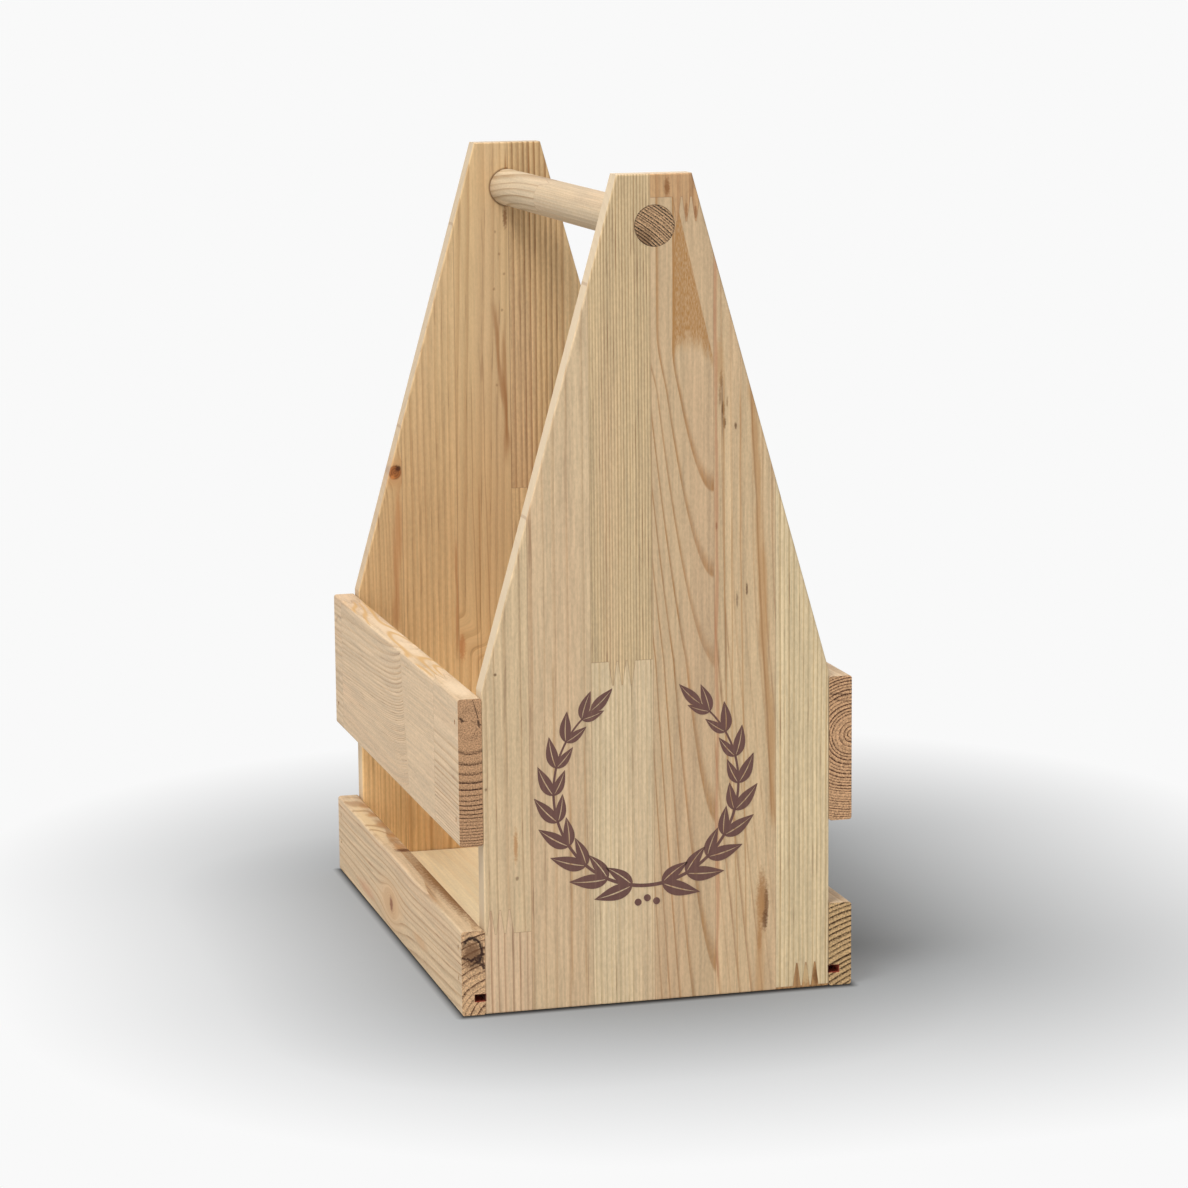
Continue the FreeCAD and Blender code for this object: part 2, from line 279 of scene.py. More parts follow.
# Grain lines flow round a knot as water round a post: u becomes u (1 - a a / d d), where u is the place
# across the grain and d the distance from the knot, with the along-grain part of d squeezed.
def knotFlow(point, knot):
    u = minus(points("DOT_PRODUCT", point, knot["across"]), knot["place"][0])
    v = times(minus(axes(point)[2], knot["place"][1]), knot["squeeze"])
    around = timesPlus(u, u, times(v, v))
    size = knot["radius"] ** 2
    share = sums("DIVIDE", size, sums("MAXIMUM", around, size))
    push = points("SCALE", knot["across"], times(u, share, -1.0))
    return points("ADD", point, push), sums("SQRT", around)


# A knot's own wood: rings of the branch, dark at the bark, over a red-brown core.
def knotWood(colour, distance, knot):
    body = eased(distance, knot["radius"] * 0.62, knot["radius"] * 0.92, knot["show"], 0.0)
    halo = eased(distance, knot["radius"] * 0.8, knot["radius"] * 2.4, 0.45, 0.0)
    rings = sums("MULTIPLY", sums("PINGPONG", distance, 0.55), 1.3, clamp=True)
    core, rim, around = (paint(*knot[word]) for word in ("core", "rim", "halo"))
    return blended(body, blended(halo, colour, around), blended(rings, core, rim))


# Spots and streaks of resin or bark, and patches of painted light and shade on some slat tops and under the
# handle: each is an ellipsoid with a ragged edge, and the share of its colour falls from its middle to its
# edge.
def spotted(here, colour, spots):
    ragged = cloud(here, (0.9, 0.9, 0.9), 2.0)[0]
    for place, radii, tone, share in spots:
        offset = points("DIVIDE", points("SUBTRACT", here, place), radii)
        edge = timesPlus(ragged, 0.9, points("LENGTH", offset))
        colour = blended(eased(edge, 0.75, 1.45, share, 0.0), colour, paint(*tone))
    return colour


# how the grain is turned: staves stand along Z; slats, board and handle lie along Y
grainTurn = {"upright": (0.0, 0.0, 0.0), "lying": (math.pi / 2, 0.0, 0.0)}
grainAxis = {"upright": (0.0, 0.0, 1.0), "lying": (0.0, 1.0, 0.0)}
# what a block of pine has if its own row doesn't say
pineDefaults = {
    "grain": "upright", "lean": (0.0, 0.0), "bow": (0.0, 0.0), "ring": 3.0, "tight": 0.0, "vary": 1.3,
    "fickle": 0.5, "start": 0.3, "wander": 2.0, "contrast": 0.6, "dash": 0.6, "core": 0.0, "fibre": 1.0,
    "endShare": 1.0, "edgeShare": 0.0, "early": (204, 176, 140), "late": (160, 120, 78),
    # edge and edgeHigh: tones of a panel's sawn edge low and high up; the lower, darker one is painted shade
    "endEarly": (206, 167, 130), "endLate": (92, 56, 34), "edge": (190, 168, 138),
    "edgeHigh": (200, 180, 151), "edgeShadeRise": (105.0, 140.0),
    "knots": (), "joints": (), "spots": (), "marks": (),
}


# A fault in the grain: beyond it the figure is shifted, before it the rings are drawn along by a bend that
# is 1.06 to the power of the distance, and the contrast changes at the fault itself.
def faulted(point, contrast, fault):
    beyond = minus(points("DOT_PRODUCT", point, fault["across"]), fault["place"])
    rise = sums("POWER", 1.06, sums("MINIMUM", beyond, 0.0))
    passed = eased(beyond, -fault["soft"], fault["soft"])
    point = points("ADD", point, points("SCALE", fault["bend"], rise))
    point = points("ADD", point, points("SCALE", fault["shift"], passed))
    nearer = eased(beyond, -70.0, 0.0, contrast * 0.8, contrast * fault["before"])
    return point, times(nearer, eased(beyond, -0.5, 0.5, 1.0, fault["after"]))


# One block of pine: its own place in the trunk, its colours, and the glue lines that it touches.
def pineMaterial(name, block, seed):
    look = {**pineDefaults, **block}
    material, shader, coords = newMaterial("pine " + name.replace("_", " "))
    turn = newNode("Mapping", Vector=coords["Object"], Location=[value / 1000 for value in look["pith"]],
                   Rotation=grainTurn[look["grain"]], Scale=(0.001, 0.001, 0.001))
    turn.vector_type = "TEXTURE"
    point = turn.outputs["Vector"]
    here = points("SCALE", coords["Object"], 1000.0)
    contrast = look["contrast"]
    knots = []
    for knot in look["knots"]:
        point, distance = knotFlow(point, knot)
        knots.append((knot, distance))
    if "fault" in look:
        point, contrast = faulted(point, contrast, look["fault"])
    facing = sums("ABSOLUTE", points("DOT_PRODUCT", coords["Normal"], grainAxis[look["grain"]]))
    figure = newNode("Group")
    figure.node_tree = pineFigure
    given = {
        "point": look["warp"](here) if "warp" in look else point, "place": point, "seed": seed,
        "end": eased(facing, 0.5, 0.86, 0.0, look["endShare"]), "contrast": contrast,
        "lean": (*look["lean"], 0.0), "bow": (*look["bow"], 0.0),
        **{word: look[word] for word in pineNumbers}, **{word: paint(*look[word]) for word in pineColours},
    }
    for word, value in given.items():
        feed(figure.inputs[word], value)
    colour = figure.outputs["colour"]
    for knot, distance in knots:
        colour = knotWood(colour, distance, knot)

    # sawn edges of the panels are paler; on the front panel the lower, darker edge tone is painted shade
    # where the slats shade the edges, and it turns to the paler tone from 105 to 140 mm high
    if look["edgeShare"]:
        sideways = sums("ABSOLUTE", points("DOT_PRODUCT", coords["Normal"], (0.0, 1.0, 0.0)))
        sawn = eased(sideways, 0.2, 0.6, look["edgeShare"], 0.0)
        high = eased(axes(here)[2], *look["edgeShadeRise"])
        edgeToneAndShade = blended(high, paint(*look["edge"]), paint(*look["edgeHigh"]))
        colour = blended(sawn, colour, edgeToneAndShade)

    # glue lines between staves repeat at the stave width; finger joints follow their zigzag
    lines = [fingerLine(here, joint) for joint in look["joints"]]
    if "glueLine" in look:
        shifted = minus(axes(here)[0], look["glueLine"])
        lines.append(sums("PINGPONG", shifted, glue["stave"] / 2))
    for line in lines[1:]:
        lines[0] = sums("MINIMUM", lines[0], line)
    if lines:
        dark = eased(lines[0], glue["half"], glue["half"] + glue["soft"], glue["share"], 0.0)
        colour = blended(dark, colour, glue["tone"])
    colour = spotted(here, colour, look["spots"])
    for mark in look["marks"]:
        colour = mark(here, colour)

    feed(shader.inputs["Base Color"], colour)
    feed(shader.inputs["Roughness"], figure.outputs["roughness"])
    feed(shader.inputs["Specular IOR Level"], pineLook["shine"])
    relief(shader, figure.outputs["height"], *pineLook["relief"])
    return material


# A finger joint: fingers stand side by side in x from the start on, and point along one axis; the shoulder
# is measured the way that they point.
def fingers(start, shoulder, along, count=3):
    return {"start": start, "shoulder": shoulder * sum(along), "along": along, "count": count}


# the ways that fingers point; in mm, the panels' seen faces and the height of the handle's axis
upward, downward, rearward, forward = (0, 0, 1), (0, 0, -1), (0, 1, 0), (0, -1, 0)
front, rear, handleHigh = -130.0, 120.0, 325.0


# Spots on a panel's face: each row gives x, z, half width, half height, colour and share.
def panelSpots(face, *rows):
    return [((x, face, z), (wide, 3.0, high), tone, share) for x, z, wide, high, tone, share in rows]


# Veins in a panel: each stands at x, leans by its slope below the height of its bend, and the share of its
# colour falls from its middle line to its half width and near its top and foot.
def veins(*rows):
    def mark(here, colour):
        x, y, z = axes(here)
        ragged = minus(cloud(here, (0.3, 0.3, 0.03), 2.0)[0], 0.5)
        for middle, (top, bend, foot), slope, half, tone, share in rows:
            fallen = sums("MAXIMUM", minus(bend, z), 0.0)
            off = minus(x, timesPlus(fallen, slope, middle))
            gap = sums("ABSOLUTE", timesPlus(ragged, 2.0 * half, off))
            body = eased(gap, half * 0.15, half, share, 0.0)
            shown = times(body, spanned(z, foot, top, 14.0))
            colour = blended(shown, colour, paint(*tone))
        return colour
    return mark


# the stave with the flame, in mm: its ring lines, and the orange flame itself
flameLines = {"side": 24.0, "width": 23.8, "power": 1.8, "climb": 106.0, "foot": 214.0, "level": 145.0,
              "squeeze": 0.55, "spacing": (0.2, 31.0), "upright": 7.0, "change": (255.0, 285.0),
              "deep": 0.05}
flameBody = {"left": 7.2, "curl": (287.0, 0.0013), "right": (-0.2373, 88.8), "middle": 14.5,
             "arch": (-0.09, 278.8), "ragged": 14.0, "tone": (170, 123, 70)}


# Ring number of the stave with the flame: its lines are one curve q(x) that is dropped by about 33 mm a
# ring, so the number is (q(x) - z) / 33 + 1; beside the flame the lines stand upright.
def flameRings(here):
    x, y, z = axes(here)
    look = flameLines
    left = sums("DIVIDE", sums("MAXIMUM", minus(look["side"], x), 0.0), look["width"])
    curve = timesPlus(sums("POWER", left, look["power"]), look["climb"], look["foot"])
    squeezed = timesPlus(z, look["squeeze"], look["level"] * (1 - look["squeeze"]))
    drop = minus(curve, sums("MAXIMUM", z, squeezed))
    low = sums("ADD", sums("DIVIDE", drop, timesPlus(x, *look["spacing"])), 1.0)
    high = timesPlus(x, -1.0 / look["upright"], 1.0 + flameBody["left"] / look["upright"])
    number = weighed(eased(z, *look["change"]), low, high)
    deeper = timesPlus(minus(y, front), look["deep"], number)
    out = times(sums("MAXIMUM", deeper, 0.05), pineDefaults["ring"])
    return newNode("CombineXYZ", X=out, Z=z).outputs[0]


# The flame itself: orange wood between a left edge that curls in at the top and a leaning right edge,
# above a ragged arch whose height is 278.8 - 0.09 (x - 14.5) (x - 14.5).
def flame(here, colour):
    x, y, z = axes(here)
    look = flameBody
    over = sums("MAXIMUM", minus(z, look["curl"][0]), 0.0)
    leftEdge = timesPlus(times(over, over), look["curl"][1], look["left"])
    rightEdge = timesPlus(z, *look["right"])
    inner = sums("MINIMUM", minus(x, leftEdge), minus(rightEdge, x))
    offMiddle = minus(x, look["middle"])
    arch = timesPlus(times(offMiddle, offMiddle), *look["arch"])
    ragged = minus(cloud(here, (0.7, 0.7, 0.09), 3.0)[0], 0.5)
    above = timesPlus(ragged, look["ragged"], minus(z, arch))
    grain = eased(cloud(here, (2.2, 2.2, 0.5), 3.0)[0], 0.35, 0.65, 1.0, 0.5)
    share = times(eased(inner, -0.2, 0.35), eased(above, -6.0, 4.0), grain)
    return blended(share, colour, paint(*look["tone"]))


# grooves of the lower slats, in mm, and the share of the painted shade in them
groove = {"heights": (5.54, 8.96), "share": 0.9}


# Painted shade in a groove: dark red-brown between two distances from the middle, within the groove's
# height.
def grooveShade(near, far, tone):
    def mark(here, colour):
        x, y, z = axes(here)
        inside = between(sums("ABSOLUTE", x), near, far)
        share = times(inside, between(z, *groove["heights"]), groove["share"])
        return blended(share, colour, paint(*tone))
    return mark


# Painted shade in a dark ring round the handle's axis, where the handle meets a panel: its share runs from
# one radius to the other, between two depths from the middle of the caddy.
def axisShadeRing(radii, shares, depths, tone):
    def mark(here, colour):
        x, y, z = axes(here)
        up = minus(z, handleHigh)
        out = sums("SQRT", timesPlus(x, x, times(up, up)))
        atFace = between(sums("ABSOLUTE", y), *depths)
        return blended(times(eased(out, *radii, *shares), atFace), colour, paint(*tone))
    return mark


# spans in mm over which colours change, with the shares at both ends, and gains for red, green and blue:
# painted light on the foot of the rear panel and on the left side of the board
footLightAndTone = {"low": (60.0, 170.0, 1.0, 0.0), "inside": (121.0, 128.0, 1.0, 0.3), "gain": (1.4, 1.43, 1.4),
          "high": (170.0, 270.0), "coolGain": (1.02, 1.08, 1.14)}
boardLeftLight = {"side": (-45.0, 25.0, 1.0, 0.0), "gain": (1.13, 1.22, 1.27)}


# Painted light at the foot of the rear panel: colours are made brighter by a share that falls with height
# from 60 to 170 mm, and with depth from the inner face to the outer one. Cooler wood takes over from 170 to
# 270 mm.
def paintFootLightAndTone(here, colour):
    x, y, z = axes(here)
    share = times(eased(z, *footLightAndTone["low"]), eased(y, *footLightAndTone["inside"]))
    warmed = toned(share, colour, footLightAndTone["gain"])
    return toned(eased(z, *footLightAndTone["high"]), warmed, footLightAndTone["coolGain"])


# Painted light along the left side of the board, where the slats and the front panel shade it: colours are
# made paler by a share that falls with x.
def paintBoardLeftLight(here, colour):
    return toned(eased(axes(here)[0], *boardLeftLight["side"]), colour, boardLeftLight["gain"])


# the dead branch in a slat's end, in mm, and the cracks
bark = {"middle": (-80.6, 27.0), "radii": (4.2, 6.0), "tone": (34, 15, 8)}
crackTone = (52, 27, 15)


# Bark of a dead branch in the front end of a slat: dark where the distance from an ellipse, made uneven
# by noise, is small, and only on its upper inner arc.
def barkRing(here, colour):
    x, y, z = axes(here)
    ragged = cloud(here, (0.7, 0.7, 0.7), 3.0)[0]
    u, v = (sums("DIVIDE", minus(value, middle), radius)
            for value, middle, radius in zip((x, z), bark["middle"], bark["radii"]))
    out = sums("SQRT", timesPlus(u, u, times(v, v)))
    off = sums("ABSOLUTE", timesPlus(ragged, 0.4, minus(out, 1.2)))
    arc = eased(sums("ADD", u, v), -0.9, 0.2)
    shown = times(eased(off, 0.04, 0.18, 0.95, 0.0), arc, sums("LESS_THAN", y, front + 1.0))
    return blended(shown, colour, paint(*bark["tone"]))


# Cracks in the front end of a slat: dark within a ragged half width of the line from one place to the next.
def endCracks(*rows):
    def mark(here, colour):
        ragged = minus(cloud(here, (1.1, 1.1, 1.1), 2.0)[0], 0.5)
        atEnd = sums("LESS_THAN", axes(here)[1], front + 1.0)
        flat = points("MULTIPLY", here, (1.0, 0.0, 1.0))
        for (x, z), (toX, toZ), half, share in rows:
            run = (toX - x, 0.0, toZ - z)
            offset = points("SUBTRACT", flat, (x, 0.0, z))
            along = points("DOT_PRODUCT", offset, run)
            along = sums("DIVIDE", along, run[0] ** 2 + run[2] ** 2, clamp=True)
            gap = points("LENGTH", points("SUBTRACT", offset, points("SCALE", run, along)))
            edge = timesPlus(ragged, 3.0 * half + 0.5, gap)
            dark = times(eased(edge, half * 0.5, half + 0.2, share, 0.0), atEnd)
            colour = blended(dark, colour, paint(*crackTone))
        return colour
    return mark


# Curly figure on the top of a slat: lines where a number, the slope along x and y plus cloudy noise times
# the levels, is whole; their share falls with the distance from the nearest whole number.
def curls(top, slope, stretch, levels, span, tone, share):
    def mark(here, colour):
        x, y, z = axes(here)
        slant = points("DOT_PRODUCT", here, slope)
        number = timesPlus(cloud(here, stretch, 0.0)[0], levels, slant)
        line = eased(sums("PINGPONG", number, 0.5), 0.04, 0.3, share, 0.0)
        onTop = sums("GREATER_THAN", z, top - 0.4)
        return blended(times(line, onTop, spanned(y, *span, 12.0)), colour, paint(*tone))
    return mark


# front panel, left to right: piths in mm, colours 0 to 255
# painted shade where the slats' grooves open: on the panels' edges and in the slats
panelGrooveShade = grooveShade(74.6, 90.0, (84, 28, 20))
slatGrooveShade = grooveShade(-1.0, 79.66, (158, 54, 40))
cornerJoint = fingers(-74.3, 34.0, upward)
middleJoint = fingers(-21.1, 146.0, downward)
crownJoint = fingers(7.5, 336.4, downward)
footJoint = fingers(58.7, 1.0, upward)
pitch = (96, 62, 34)
amber = (176, 128, 76)
frontStaves = {
    "front_stave_1_lower": {"pith": (-24, -150, 12), "ring": 2.8, "vary": 0.6, "start": 0.6, "wander": 1.2,
        "contrast": 0.8, "early": (206, 177, 143), "late": (150, 106, 74), "joints": [cornerJoint],
        "marks": [panelGrooveShade]},
    "front_stave_1_upper": {"pith": (-122, -122, 90), "ring": 4.8, "start": 0.66, "wander": 1.6,
        "contrast": 0.55, "early": (205, 179, 142), "late": (160, 124, 86), "joints": [cornerJoint],
        "spots": panelSpots(front, (-61.3, 71, 1.2, 10, (172, 118, 64), 0.7),
            (-60.9, 57, 1.0, 1.2, pitch, 0.6), (-69.1, 143.4, 0.9, 0.9, pitch, 0.8),
            (-73.6, 95.5, 0.8, 0.9, pitch, 0.7))},
    "front_stave_2": {"pith": (-118, -98, 150), "ring": 5.0, "start": 0.66, "wander": 2.0, "contrast": 0.55,
        "early": (206, 180, 144), "late": (160, 122, 84),
        "marks": [veins((-44.6, (152, 60, 60), 0.0, 0.7, amber, 0.4),
            (-37.5, (96, 20, 4), 0.0, 0.6, amber, 0.45), (-31.6, (120, 20, 4), 0.0, 0.5, amber, 0.4))]},
    "front_stave_3_lower": {"pith": (46, -112, 60), "ring": 1.9, "wander": 1.2, "contrast": 0.6,
        "early": (213, 190, 154), "late": (164, 136, 96), "joints": [middleJoint]},
    "front_stave_3_upper": {"pith": (-118, -118, 240), "ring": 1.27, "vary": 0.3, "fickle": 0.35,
        "wander": 0.7, "contrast": 0.74, "early": (203, 178, 139), "late": (144, 108, 66),
        "joints": [middleJoint]},
    "front_stave_4_lower": {"pith": (0, 0, 0), "warp": flameRings, "ring": 3.0, "vary": 0.0, "fickle": 0.3,
        "start": 0.7, "wander": 0.12, "contrast": 0.85, "dash": 0.2, "early": (198, 170, 134),
        "late": (158, 112, 62), "joints": [crownJoint], "marks": [flame],
        "spots": panelSpots(front, (9.2, 322, 1.0, 8, (150, 98, 48), 0.5))},
    "front_stave_4_upper": {"pith": (46, -108, 336), "ring": 4.6, "contrast": 0.6, "early": (193, 154, 110),
        "late": (146, 98, 54), "joints": [crownJoint],
        "spots": panelSpots(front, (5.4, 340.4, 1.7, 5.0, (132, 84, 42), 0.8),
            (13.4, 331, 1.0, 4.5, (140, 88, 44), 0.6), (17.4, 330, 0.9, 4.5, (132, 80, 40), 0.7))},
    "front_stave_5": {"pith": (111.5, -118, 173), "lean": (-0.05, 0.0), "bow": (0.05, 0.0), "ring": 4.5,
        "vary": 0.6, "fickle": 0.8, "start": 0.7, "wander": 1.2, "contrast": 0.6, "early": (205, 177, 139),
        "late": (156, 108, 64),
        "marks": [veins((41.0, (268, 268, 66), 0.05, 2.6, amber, 0.6),
            (40.4, (262, 262, 70), 0.05, 0.7, (140, 92, 48), 0.45),
            (25.7, (322, 20, 0), 0.0, 1.3, (178, 120, 84), 0.6),
            (29.2, (270, 190, 90), 0.01, 0.5, amber, 0.6), (36.2, (262, 200, 20), 0.012, 0.5, amber, 0.6),
            (32.4, (210, 120, 0), 0.02, 0.5, amber, 0.5), (28.6, (266, 250, 232), 0.02, 0.5, pitch, 0.55),
            (29.4, (172, 160, 128), 0.0, 0.7, pitch, 0.4), (44.2, (48, 20, -14), 0.0, 3.0, amber, 0.5))],
        "spots": panelSpots(front, (28.0, 261, 0.9, 5, (116, 80, 44), 0.75),
            (27.5, 254.4, 0.7, 5, (128, 90, 50), 0.6), (28.9, 249, 0.9, 4.5, (108, 72, 38), 0.8),
            (29.4, 243.4, 0.9, 3.4, (100, 66, 34), 0.85), (30.6, 251.6, 0.6, 3, (128, 90, 50), 0.5),
            (27.6, 268, 2.4, 14, (182, 140, 92), 0.5), (34.2, 241.8, 0.8, 1.8, pitch, 0.8),
            (25.8, 200.4, 0.6, 2.6, pitch, 0.8), (38.9, 173.3, 0.7, 4, pitch, 0.8),
            (34.6, 168.9, 0.6, 4.5, pitch, 0.6), (45.4, 40, 3.4, 17, (156, 108, 60), 0.75),
            (47.2, 38, 1.3, 11, (104, 64, 30), 0.7), (46.4, 31, 1.6, 6, (84, 48, 22), 0.75),
            (44.2, 23, 1.2, 9, (150, 100, 52), 0.6))},
    "front_stave_6_lower": {"pith": (0, -120, 6), "ring": 2.05, "contrast": 0.7, "early": (184, 140, 90),
        "late": (122, 80, 42), "joints": [footJoint], "marks": [panelGrooveShade],
        "spots": panelSpots(front, (69.6, 5, 2.6, 5, (112, 70, 34), 0.7),
            (64.7, 6, 2.0, 7, (206, 178, 134), 0.75))},
    "front_stave_6_upper": {"pith": (-40, -125, 150), "ring": 2.05, "vary": 0.7, "start": 0.45,
        "wander": 1.0, "contrast": 0.7, "early": (217, 195, 156), "late": (166, 132, 86),
        "joints": [footJoint], "marks": [panelGrooveShade]},
}

# rear panel, left to right, in a warmer golden pine
rearJoint = fingers(7.3, 182.4, downward)
# painted shade round the bore on the rear panel's inner face
boreShadeRing = axisShadeRing((8.8, 9.7), (0.65, 0.0), (119.0, 121.0), (84, 50, 24))
umber = (146, 92, 44)
pinDots = ((-6.4, 304.2), (-4.6, 293.8), (-2.3, 284.3), (-7.3, 277.4), (-3.5, 267.4), (-6.5, 231.9))
rearStaves = {
    "rear_stave_1": {"pith": (-150, 128, 190), "ring": 1.9, "contrast": 0.4, "fibre": 0.7,
        "knots": [{"across": (1.0, 0.0, 0.0), "place": (93.5, 2.5), "radius": 3.9, "squeeze": 0.9,
            "show": 0.9, "core": (160, 92, 40), "rim": (96, 44, 16), "halo": (188, 130, 76)}],
        "marks": [veins((-55.4, (190, 170, 110), -0.03, 3.0, (186, 130, 82), 0.6))],
        "spots": panelSpots(rear, (-55.0, 194.4, 2.0, 2.2, (58, 24, 10), 0.85),
            (-57.6, 190.2, 1.6, 1.6, (206, 132, 70), 0.7))},
    "rear_stave_2": {"pith": (30, 160, 150), "ring": 2.7, "vary": 0.5, "contrast": 0.45, "wander": 1.2,
        "fibre": 0.7,
        "marks": [veins((-27.6, (164, 20, 96), 0.0, 1.3, (170, 110, 62), 0.6),
            (-52.2, (112, 20, -14), 0.0, 1.2, (168, 104, 50), 0.4),
            (-33.0, (84, 20, -14), 0.0, 1.6, (178, 120, 64), 0.4),
            (-42.0, (96, 20, -14), 0.0, 1.0, (178, 120, 64), 0.4))]},
    "rear_stave_3": {"pith": (-70, 104, 190), "lean": (0.02, 0.0), "ring": 4.6, "start": 0.3,
        "contrast": 0.42, "wander": 2.0, "fibre": 0.5,
        "fault": {"across": (1.2, 0.0, 1.0), "place": -19.0, "shift": (-9.0, 0.0, 0.0),
            "bend": (0.0, 0.0, 0.0), "soft": 10.0, "before": 1.4, "after": 0.8},
        "marks": [boreShadeRing, veins((-1.0, (346, 20, 318), 0.0, 0.7, umber, 0.75),
            (-7.6, (276, 272, 196), 0.095, 1.9, umber, 0.6), (-2.4, (264, 20, 190), 0.0, 1.6, umber, 0.5),
            (-13.0, (250, 200, 20), 0.02, 0.5, umber, 0.35),
            (-19.0, (240, 180, 60), 0.02, 0.5, umber, 0.35),
            (-16.0, (190, 180, 20), 0.0, 0.6, umber, 0.35))],
        "spots": panelSpots(rear, *((x, z, 0.8, 1.0, (122, 80, 42), 0.45) for x, z in pinDots),
            # the first spot, just under the handle, is partly resin and partly painted shade where the
            # handle meets the panel
            (-1.6, 311, 1.4, 7, (112, 62, 22), 0.7), (-25.2, 107, 2.4, 9, (176, 110, 62), 0.6))},
    "rear_stave_4_lower": {"pith": (-60, 132, 90), "ring": 2.6, "contrast": 0.6, "joints": [rearJoint]},
    "rear_stave_4_upper": {"pith": (-72, 122, 260), "ring": 2.6, "vary": 0.4, "fickle": 0.4, "start": 0.2,
        "contrast": 0.85, "wander": 1.0, "early": (202, 165, 118), "late": (136, 90, 46),
        "joints": [rearJoint]},
    "rear_stave_5": {"pith": (110, 150, 160), "ring": 3.4, "contrast": 0.5},
    "rear_stave_6": {"pith": (112, 150, 90), "lean": (-0.03, 0.0), "ring": 3.2, "contrast": 0.6},
}
for block in frontStaves.values():
    block.update(glueLine=-1.8, endShare=0.3, edgeShare=0.85)
for block in rearStaves.values():
    block.setdefault("early", (206, 171, 125))
    block.setdefault("late", (158, 112, 66))
    block.update(glueLine=0.0, endShare=0.3, edgeShare=0.65, edge=(186, 166, 140), edgeHigh=(186, 166, 140))
    # painted light on the foot of the rear staves, strongest on the inner face
    block["marks"] = [paintFootLightAndTone] + block.get("marks", [])

